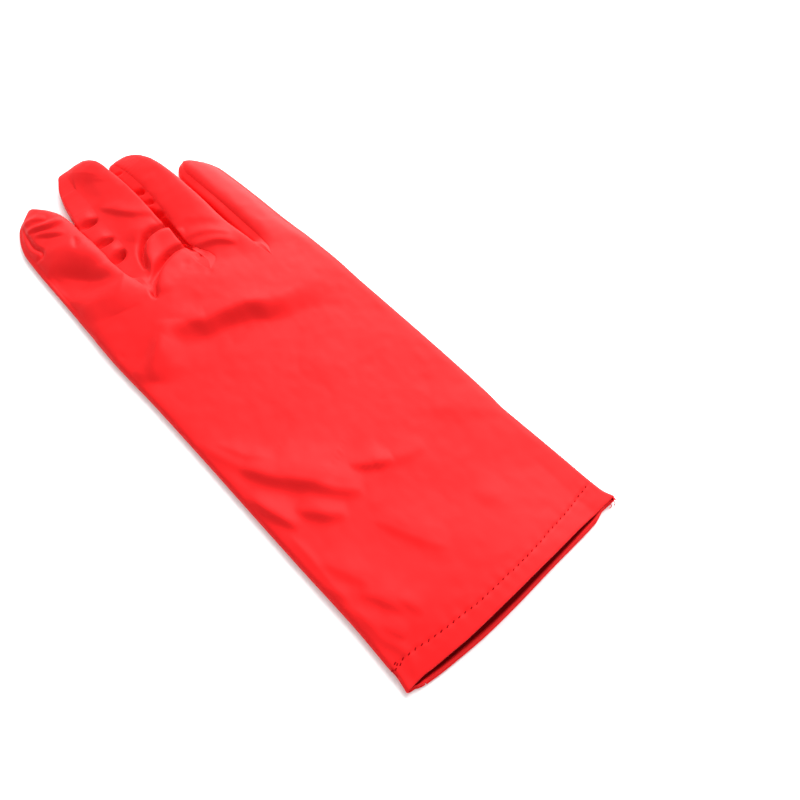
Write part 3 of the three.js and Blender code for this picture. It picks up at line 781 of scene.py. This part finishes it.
def littleSeam(rightX, radius, rim):
    # rounds the back's last column of points down to the seam at the little-finger side
    along = rim[:, 1]
    above = rim[:, 2] - foldRadius - radius - lift(rim[:, 0], along)
    rows = []
    for angle in foldArc(back["seamSteps"], 90, back["seamEnd"])[1:]:
        x = rightX - radius * (1 - cos(angle))
        z = foldRadius + radius * sin(angle) + lift(x, along) + above * sin(angle) ** 2
        rows.append(asGrid(x, along, z))
    return np.stack(rows, 1)


def backHand(points, shares):
    closeRows, evenRows = np.linspace(*back["stitchRows"]), np.linspace(*back["handRows"])
    level = np.concatenate([back["hemRows"], closeRows, evenRows])
    x, along = handPlan(points, shares, foldRadius, backHemLine, back, level)
    top = np.maximum(handTop(x, along) + backRelief(x, along), lift(x, along) + form["clothGap"])
    hand = asGrid(x, along, top)
    # the fold at the index side and the cloth that runs on under it follow the palm's hem line
    edge = along[:, 0]
    leftX = sideAt("left", edge)
    follow = 1 - smooth(0, back["hemFollow"], edge)[:, None]
    hemHere = float(curve(backHemLine, "along", back["hemCorner"]))
    fold = indexFold(leftX, edge, foldRadius, 1)
    below = np.clip(1 - fold[..., 2] / (2 * foldRadius), 0, 1)
    fold[..., 1] += (curve(palmHemLine, "along", fold[..., 0]) - hemHere) * below * follow
    underX = leftX[:, None] + np.linspace(form["underWrap"], foldRadius, back["underRows"][0] + 1)[:-1]
    underAlong = edge[:, None] + (curve(palmHemLine, "along", underX) - hemHere) * follow
    under = asGrid(underX, underAlong, lift(underX, underAlong))
    seam = littleSeam(sideAt("right", along[:, -1]), foldRadius, hand[:, -1])
    return curlHem(np.concatenate([under, fold, hand, seam], 1), back["hemRound"])


def backOutline(k, side, along):
    # the glove's own two sides leave room for their rounding
    finger = fingers[k]
    room = foldRadius * tipFall(finger, along)
    if side == "left":
        return curve(finger, "seamLeft", along) + (room if k == 0 else 0)
    return curve(finger, "seamRight", along) - (room if k == little else 0)


def backFinger(k, points, shares, level):
    finger = fingers[k]
    x, along, knuckle, low, high = fingerPlan(k, points, shares, level, backOutline, foldRadius)
    fall = tipFall(finger, along)
    if k == 0:
        x = np.minimum(x, high)
    top = fingerTop(finger, shares[None, :], x, along, knuckle) + backRelief(x, along) * fall
    for sewn, side, seamX in ((k > 0, "left", low), (k < little, "right", high)):
        if sewn:
            off = np.abs(x - seamX)
            depth = seamDepth(finger, side, sinkFrom(knuckle, along) * fall)
            top -= form["seamDrop"] * np.clip(1 - off / form["seamRound"], 0, 1) ** 2 * depth
            top += seamPucker(k, along) * np.exp(-off / pucker["reach"]) * depth
    grid = asGrid(x, along, np.maximum(top, leastTop(x, along, fall)))
    if k == 0:
        # the fold at the index side and the cloth that runs on under it
        edge, radius = along[:, 0], foldRadius * fall[:, 0]
        left = curve(finger, "left", edge)
        left[0] = points[0][0]
        fold = indexFold(left, edge, radius, 1 - smooth(edge[0], edge[0] + form["fingerBlend"], edge))
        inward = np.linspace(1, 0, back["underRows"][1] + 1)[:-1]
        underX = left[:, None] + mix(radius[:, None], underReach(finger, edge, left)[:, None], inward)
        underZ = (foldRadius - radius)[:, None] + lift(underX, edge[:, None])
        grid = np.concatenate([asGrid(underX, edge[:, None], underZ), fold, grid], 1)
    if k == little:
        rightX = curve(finger, "right", along[:, -1])
        rightX[0] = points[-1][0]
        grid = np.concatenate([grid, littleSeam(rightX, foldRadius * fall[:, -1], grid[:, -1])], 1)
    return grid


def buildBack():
    points = knucklePoints(crotches, form["knuckleLeft"], form["knuckleRight"])
    shares = [seamShares(k, finger) for k, finger in enumerate(fingers)]
    share = 1 - (1 - np.linspace(0, 1, back["fingerRows"] + 1)) ** back["tipRows"]
    level = share - back["closeRows"] * np.sin(2 * pi * share) / (2 * pi)
    patches = [backFinger(k, points, shares[k], level) for k in range(len(fingers))]
    return makeCloth("backCloth", "back_panel", [backHand(points, shares), *patches])


backCloth = buildBack()
print("back cut and folded:", len(backCloth.data.polygons), "faces")


# Fourchettes, the side strips between the fingers

strips = dict(
    sharedRows=14,           # rows at the crotch, where the two arms are one
    armRows=130, columns=18, thick=0.4, puff=0.25, lowest=0.9,
    under=0.02,              # how far its edge lies below the back's
    footIn=dict(right=1, left=0.3),
    crotchOver=3,            # from the crotch, where the cloth between the arms has puffed up
    foldFade=(0.4, 0.1),     # shares of the width over which a fold starts and ends
    puckerFade=6,
    sideways=0.4,            # how far a fold also moves the cloth across
)
# where the two arms part, how suddenly the far one drops from its seam, and its even share of the slope
stripRows = [
    dict(name="fourchetteIndexMiddle", node="fourchette_index_middle", parts=(10, 19), dip=30, tilt=0.16),
    dict(name="fourchetteMiddleRing", node="fourchette_middle_ring", parts=(16, 25), dip=14, tilt=0.34),
    dict(name="fourchetteRingLittle", node="fourchette_ring_little", parts=(7.5, 17), dip=6, tilt=0.25),
]
sideFolds = [
    ([(-21, 201.2), (-18.4, 201.8), (-12, 202), (-9, 202)], 1, 1.4, 3.8),
    ([(-21, 198.6), (-18.4, 199.2), (-12, 199.4), (-10.6, 199.4)], -2.6, 1.15, 1.15),
    ([(-22, 189.4), (-20, 189.4), (-13.4, 189), (-10, 188.8)], 1, 1.4, 3.8),
    ([(-22, 187), (-19.8, 187), (-13.4, 186.6), (-11.6, 186.4)], -2.4, 1.05, 1.05),
    ([(-22, 178.6), (-20, 179.6), (-12.5, 182), (-10, 182.8)], 1, 1.6, 3.6),
    ([(-22.4, 175.4), (-20, 176.4), (-12.5, 178.8), (-10.8, 179.4)], -3.4, 1.5, 1.5),
    ([(4.6, 218.6), (8, 216.6)], -0.6, 0.8, 0.8),
    ([(4.6, 193), (4.8, 182), (5, 172), (4.4, 160)], -2.4, 1.7, 1.7),
    ([(4.2, 204.4), (6.2, 202.4), (9.6, 199.8)], -1.5, 1.2, 1.2),
    ([(4.4, 196.6), (6.4, 194.8), (9.4, 192.4)], -1.2, 1, 1),
    ([(4.4, 188.6), (6.2, 186.9), (9.4, 184)], -1.1, 1, 1),
    ([(2, 157.6), (5.5, 157.4), (9.5, 159)], -0.7, 0.8, 0.8),
]


def seamHeight(k, side, along, knuckle):
    finger = fingers[k]
    x = curve(finger, "seamRight" if side == "right" else "seamLeft", along)
    fall = tipFall(finger, along)
    z = fingerTop(finger, 1 if side == "right" else 0, x, along, knuckle) + backRelief(x, along) * fall
    z -= form["seamDrop"] * seamDepth(finger, side, sinkFrom(knuckle, along) * fall)
    return x, np.maximum(z, leastTop(x, along, fall)) - strips["under"]


def armGrid(number, side):
    # one arm of a strip, from its seam with the back down to its foot beside the palm
    near = side == "right"
    k, otherK = (number, number + 1) if near else (number + 1, number)
    strip, finger = stripRows[number], fingers[k]
    crotchX, crotchAlong = crotches[number]
    divide, apart = [crotchAlong + away for away in strip["parts"]]
    shared = np.linspace(crotchAlong, divide, strips["sharedRows"] + 1)
    along = np.concatenate([shared, mix(divide, finger["tip"], tipLevels(strips["armRows"])[1:])])
    fall = tipFall(finger, along)
    opened = smooth(divide, apart, along)
    seamX, seamZ = seamHeight(k, side, along, crotchAlong)
    seamX[0] = crotchX
    otherX, otherZ = seamHeight(otherK, "left" if near else "right", along, crotchAlong)
    outer = curve(finger, side, along)
    footX = mix((seamX + otherX) / 2, outer - strips["footIn"][side] * fall, opened)
    valley = (seamZ + otherZ) / 2 + strips["puff"] * smooth(0, strips["crotchOver"], along - crotchAlong)
    footZ = mix(foldRadius, mix(valley, form["footRound"], opened), fall) + lift(footX, along) * opened
    # columns across the strip, closer towards its foot
    w = np.sin(np.linspace(0, 1, strips["columns"] + 1) * pi / 2)[None, :]
    x = mix(seamX[:, None], footX[:, None], w)
    swell = (opened * fall)[:, None]
    drop = w
    if near:
        x += (outer - (seamX + footX) / 2)[:, None] * 4 * w * (1 - w) * swell
    else:
        drop = mix(w, mix(w ** strip["dip"], w, strip["tilt"]), opened[:, None])
    place = along[:, None]
    seamFade, footFade = strips["foldFade"]
    ends = smooth(0, seamFade, w) * smooth(0, footFade, 1 - w)
    fold = foldRelief(sideFolds, x, place) * ends * fall[:, None]
    z = mix(seamZ[:, None], footZ[:, None], drop) + fold
    z += seamPucker(k, place) * np.exp(-w * strips["puckerFade"]) * seamDepth(finger, side, swell)
    z += ripple(backRipple, x, place, uneven["strip"]) * swell * ends
    z = np.maximum(z, np.minimum(footZ[:, None], strips["lowest"]))
    x += strips["sideways"] * (fold if near else -fold)
    return asGrid(x, place, z)


def buildStrip(number, strip):
    nearArm, farArm = armGrid(number, "right"), armGrid(number, "left")[:, ::-1]
    joined = strips["sharedRows"] + 1
    farArm[:joined, 0] = nearArm[:joined, -1]
    return makeCloth(strip["name"], strip["node"], [nearArm, farArm], thick=strips["thick"])


sideStrips = [buildStrip(number, strip) for number, strip in enumerate(stripRows)]
print("side strips sewn between the fingers:", len(sideStrips))


# Palm, lying on the table

palm = dict(
    hemRound=0.42, hemSpan=(-34.2, 40.2),
    hemRows=(0, 0.06, 12), handRows=(0.07, 1, 110), fingerRows=70, columns=18, seamSteps=5,
    seamEnd=-10,             # degrees, below the back's
    seamGap=0.35,            # from the back's cloth under the fold
    crotchShift=5.5,         # the palm's cuts between the fingers end further up than the back's
    knuckleLeft=155, knuckleRight=142,
    footGap=0.3,
    flatNear=12,             # from the hem, where the ripples have come in
    riseOver=6,              # from the knuckle, where the cloth has risen to the strips
)


def palmRelief(x, along):
    return np.abs(ripple(backRipple, along, x, uneven["palm"]))


def footEdge(k, side, along):
    # the palm's outline beside a side strip, the back's cloth under the fold, or the little finger's seam
    finger = fingers[k]
    fall = tipFall(finger, along)
    outer = curve(finger, side, along)
    if side == "left":
        own = underReach(finger, along, outer) + palm["seamGap"] * fall
        return outer + (own if k == 0 else palm["footGap"] * fall)
    return outer - (foldRadius if k == little else strips["footIn"]["right"]) * fall


def palmSeam(rim, radius):
    # the palm's last column of points, rounded up to the seam at the little-finger side
    rows = []
    for angle in foldArc(palm["seamSteps"], -90, palm["seamEnd"])[1:]:
        x = rim[:, 0] + radius * cos(angle)
        rows.append(asGrid(x, rim[:, 1], rim[:, 2] + radius * (1 + sin(angle))))
    return np.stack(rows, 1)


def palmFinger(k, points, shares, wrap):
    level = tipLevels(palm["fingerRows"])
    x, along, knuckle, low, high = fingerPlan(k, points, shares, level, footEdge, wrap)
    fall = tipFall(fingers[k], along)
    z = foldRadius * (1 - fall) + lift(x, along) + palmRelief(x, along) * fall
    rise = form["footRound"] * smooth(0, palm["riseOver"], along - knuckle) * fall
    for free, edge in ((k > 0, low), (k < little, high)):
        if free:
            q = np.clip(1 - np.abs(x - edge) / form["footRound"], 0, 1)
            z += (1 - np.sqrt(1 - q * q)) * rise
    grid = asGrid(x, along, z)
    if k == little:
        grid = np.concatenate([grid, palmSeam(grid[:, -1], foldRadius * fall[:, -1])], 1)
    return grid[:, ::-1]


def buildPalm():
    cuts = [(x, along + palm["crotchShift"]) for x, along in crotches]
    points = knucklePoints(cuts, palm["knuckleLeft"], palm["knuckleRight"])
    wrap = form["underWrap"] + palm["seamGap"]
    shares = np.linspace(0, 1, palm["columns"] + 1)
    level = np.concatenate([np.linspace(*palm["hemRows"]), np.linspace(*palm["handRows"])])
    x, along = handPlan(points, [shares] * len(fingers), wrap, palmHemLine, palm, level)
    z = lift(x, along) + palmRelief(x, along) * smooth(0, palm["flatNear"], along)
    hand = asGrid(x, along, z)
    hand = np.concatenate([hand, palmSeam(hand[:, -1], foldRadius)], 1)
    patches = [palmFinger(k, points, shares, wrap) for k in range(len(fingers))]
    patches.insert(0, curlHem(hand[:, ::-1], palm["hemRound"]))
    return makeCloth("palmCloth", "palm_panel", patches, hole=(thumbLine["base"], thumbLine["hole"]))


palmCloth = buildPalm()
print("palm laid:", len(palmCloth.data.polygons), "faces")


# Thumb, a flat bag under the palm

thumb = dict(
    height=3.2, thick=0.4, rows=56, columns=48,
    ends=(0.004, 0.996),     # the shares of its length where the bag starts and ends
    leastSquared=0.02,       # of half its width
    sideRound=0.8, topRound=0.62, fullness=1.05,
    folds=0.28, foldPitch=(3.1, 3.7), ripples=0.3,
    clearance=0.3, least=0.05,   # under the palm
)


def buildThumb():
    (ax, ay), (bx, by) = thumbLine["base"], thumbLine["tip"]
    length = hypot(bx - ax, by - ay)
    wayX, wayY = (bx - ax) / length, (by - ay) / length
    start, end = -thumbLine["baseRadius"], length + thumbLine["tipRadius"]
    turn = np.linspace(0, 2 * pi, thumb["columns"] + 1)
    acrossTurn = np.sign(np.cos(turn)) * np.abs(np.cos(turn)) ** thumb["sideRound"]
    rise = np.sign(np.sin(turn)) * np.abs(np.sin(turn)) ** thumb["topRound"]
    runPitch, sidePitch = thumb["foldPitch"]
    rows = []
    for share in np.linspace(0, 1, thumb["rows"] + 1):
        run = mix(start, end, 0.5 - 0.5 * cos(pi * mix(*thumb["ends"], share)))
        radius = mix(thumbLine["baseRadius"], thumbLine["tipRadius"], min(1, max(0, run / length)))
        past = run if run < 0 else max(0, run - length)
        half = sqrt(max(thumb["leastSquared"], radius * radius - past * past))
        tall = thumb["height"] * min(1, (half / radius) ** thumb["sideRound"] * thumb["fullness"])
        side = half * acrossTurn
        x = ax + wayX * run + wayY * side
        along = ay + wayY * run - wayX * side
        fold = np.sin(run / runPitch + np.sin(side / sidePitch))
        crumple = thumb["folds"] * fold * (1 - np.abs(rise)) * half / radius
        under = np.abs(ripple(backRipple, along, x, thumb["ripples"])) * np.maximum(0, -rise)
        room = np.maximum(thumb["least"], lift(x, along) - thumb["clearance"])
        z = np.minimum(tall / 2 * (1 + rise) + under, room)
        rows.append(asGrid(x + wayY * crumple, along - wayX * crumple, z))
    return makeCloth("thumbCloth", "thumb", [np.array(rows)[:, ::-1]], thick=thumb["thick"])


thumbCloth = buildThumb()
print("thumb tucked under")


# Hems, the turned-in layers of the cuff

hem = dict(
    span=(-38.9, 39.9), columns=130, depth=7, thick=0.46,
    gap=0.05,                # between the cloth and its turned-in layer
    backStart=0.25, backRows=19, edgeDrop=0.1, edgeFade=22,
    palmStart=0.32, beadTop=1.55,
    beadWave=(0.05, 2.3),    # height and pitch of the bead's unevenness, then how its pitch drifts
    beadDrift=(1.5, 7),
    beadRows=(0, 1.3, 16),   # shares of the bead's width, then the flat layer behind
    flatRows=(1.6, 5.2, 12),
    faceRows=12,             # rows of the bead that show the satin's face
)
beadShape = dict(            # the palm's bead from its front to the flat layer behind
    place=[0, 0.06, 0.2, 0.42, 0.66, 0.86, 1, 1.12, 1.3],
    height=[0.42, 0.68, 0.9, 1, 0.99, 0.88, 0.74, 0.68, 0.67],
)


def buildBackHem():
    x = np.linspace(*hem["span"], hem["columns"] + 1)
    level = np.linspace(0, 1, hem["backRows"])[:, None]
    along = curve(backHemLine, "along", x[None, :]) + hem["backStart"] + hem["depth"] * level
    slope = np.gradient(handTop(x, along[0]), x)
    x = np.repeat(x[None, :], len(level), 0)
    layer = (clothThick + hem["gap"]) * np.sqrt(1 + slope ** 2)
    z = handTop(x, along) + backRelief(x, along) - layer[None, :]
    z -= hem["edgeDrop"] * np.exp(-level * hem["edgeFade"])
    # the whole turned-in layer takes the reverse material, painted dark as the shade inside the mouth
    return makeCloth("hemOfBack", "hem_back", [asGrid(x, along, z)], hem["thick"], satinReverseWithPaintedShade, None)


def buildPalmHem():
    x = np.linspace(*hem["span"], hem["columns"] + 1)[None, :]
    place = np.concatenate([np.linspace(*hem["beadRows"]), np.linspace(*hem["flatRows"])])[:, None]
    beadEnd, flatEnd = hem["beadRows"][1], hem["flatRows"][1]
    start = curve(palmHemLine, "along", x) + hem["palmStart"]
    width = curve(palmBead, "width", x) - hem["palmStart"]
    behind = (place - beadEnd) / (flatEnd - beadEnd) * (hem["depth"] - beadEnd * width)
    along = start + np.where(place < beadEnd, place * width, beadEnd * width + behind)
    (height, pitch), (drift, driftPitch) = hem["beadWave"], hem["beadDrift"]
    top = hem["beadTop"] + height * np.sin(x / pitch + drift * np.sin(x / driftPitch))
    grid = asGrid(x, along, top * curve(beadShape, "height", place))
    piece = makeCloth("hemOfPalm", "hem_palm", [grid], hem["thick"], satinFace, None)
    # the bead shows the face of the satin, and the layer behind it the reverse, whose dark tone is partly
    # painted shade inside the mouth
    piece.data.materials.append(satinReverseWithPaintedShade)
    for face in piece.data.polygons:
        beadBack = np.interp(face.center.x / mm, x[0], along[hem["faceRows"]])
        face.material_index = int(face.center.y / mm + hemToOrigin > beadBack)
    return piece


hemOfBack = buildBackHem()
hemOfPalm = buildPalmHem()
print("hems turned in")


# Machine stitches round the cuff

stitches = dict(
    span=(-38.9, 38.6), pitch=1.95, length=0.85, radius=0.19, sides=6, steps=6, seed=5,
    taper=0.45,              # how much thinner a stitch is at its ends
    slant=22,                # degrees
    uneven=(0.06, 7),        # scatter of the place and of the slant
    backTack=[(-38, -0.5), (-37.2, 0.55), (-36.3, -0.45)],
    # a dark red, far darker than the red thread of the loose ends: painted shade of the needle holes laid on
    # the stitches
    colour=(0.29, 0.001, 0.003),
)
thread = dict(roughness=0.9, specular=0.05, twist=2500, shade=0.7)


def threadTube(path, radius, sides):
    # one short thread as a closed tube along its points
    points = np.array(path, float)
    ways = np.gradient(points, axis=0)
    ways /= np.linalg.norm(ways, axis=1, keepdims=True)
    across = np.cross(ways, [0, 0, 1.0])
    across /= np.maximum(1e-9, np.linalg.norm(across, axis=1, keepdims=True))
    upward = np.cross(across, ways)
    turn = np.linspace(0, 2 * pi, sides, endpoint=False)
    around = across[:, None] * np.cos(turn)[:, None] + upward[:, None] * np.sin(turn)[:, None]
    rings = points[:, None] + radius[:, None, None] * around
    count = len(points)
    faces = []
    for j in range(count - 1):
        for i in range(sides):
            n = (i + 1) % sides
            faces.append((j * sides + i, (j + 1) * sides + i, (j + 1) * sides + n, j * sides + n))
    faces.append(tuple(range(sides)))
    faces.append(tuple((count - 1) * sides + i for i in range(sides))[::-1])
    return rings.reshape(-1, 3), faces


def joinThreads(name, threads, materialName, colour):
    material, shader = newMaterial(materialName, thread["roughness"], thread["specular"])
    tree = material.node_tree
    shade = [value * thread["shade"] for value in colour]
    tintBetween(tree, shader, addNoise(tree, thread["twist"], 2), shade, colour)
    points, faces, start = [], [], 0
    for ringPoints, ringFaces in threads:
        points.append(ringPoints)
        faces += [tuple(n + start for n in face) for face in ringFaces]
        start += len(ringPoints)
    return makePiece(name, np.concatenate(points), faces, material)


def buildStitches():
    draw = np.random.default_rng(stitches["seed"])
    slip, turnSlip = stitches["uneven"]
    t = np.linspace(-0.5, 0.5, stitches["steps"])
    radius = stitches["radius"] * (1 - stitches["taper"] * (2 * t) ** 4)
    threads = []
    for x, aside in [(x, 0) for x in np.arange(*stitches["span"], stitches["pitch"])] + stitches["backTack"]:
        along = float(curve(stitchLine, "along", x)) + aside + draw.normal(0, slip)
        angle = radians(stitches["slant"] + draw.normal(0, turnSlip))
        xs = x + t * stitches["length"] * cos(angle)
        alongs = along + t * stitches["length"] * sin(angle)
        path = asGrid(xs, alongs, handTop(xs, alongs) + backRelief(xs, alongs))
        threads.append(threadTube(path, radius, stitches["sides"]))
    return joinThreads("hemStitches", threads, "hemThreadWithPaintedShade", stitches["colour"])


buildStitches()

ends = dict(radius=0.12, sides=6, steps=18, colour=(0.8, 0.01, 0.02))
looseEnds = [
    [(39.2, -1, 1.3), (39.9, -1.4, 1.2), (40.3, -1.8, 1), (40.2, -2.3, 0.7), (39.7, -2.5, 0.4)],
    [(38.6, -1.1, 1.1), (38.9, -1.8, 0.9), (38.4, -2.2, 0.6), (37.9, -2.1, 0.3)],
    [(40.4, -0.9, 1.6), (40.9, -1.5, 1.5), (40.8, -2, 1.2)],
]


def buildLooseEnds():
    threads = []
    for path in looseEnds:
        t = np.linspace(0, len(path) - 1, ends["steps"])
        x, along, z = np.array(path).T
        table = dict(place=range(len(path)), x=x, along=along, z=z)
        line = asGrid(*[curve(table, name, t) for name in ("x", "along", "z")])
        threads.append(threadTube(line, np.full(len(line), ends["radius"]), ends["sides"]))
    return joinThreads("looseThreadEnds", threads, "looseThread", ends["colour"])


buildLooseEnds()
print("stitched, loose ends left at the seam")
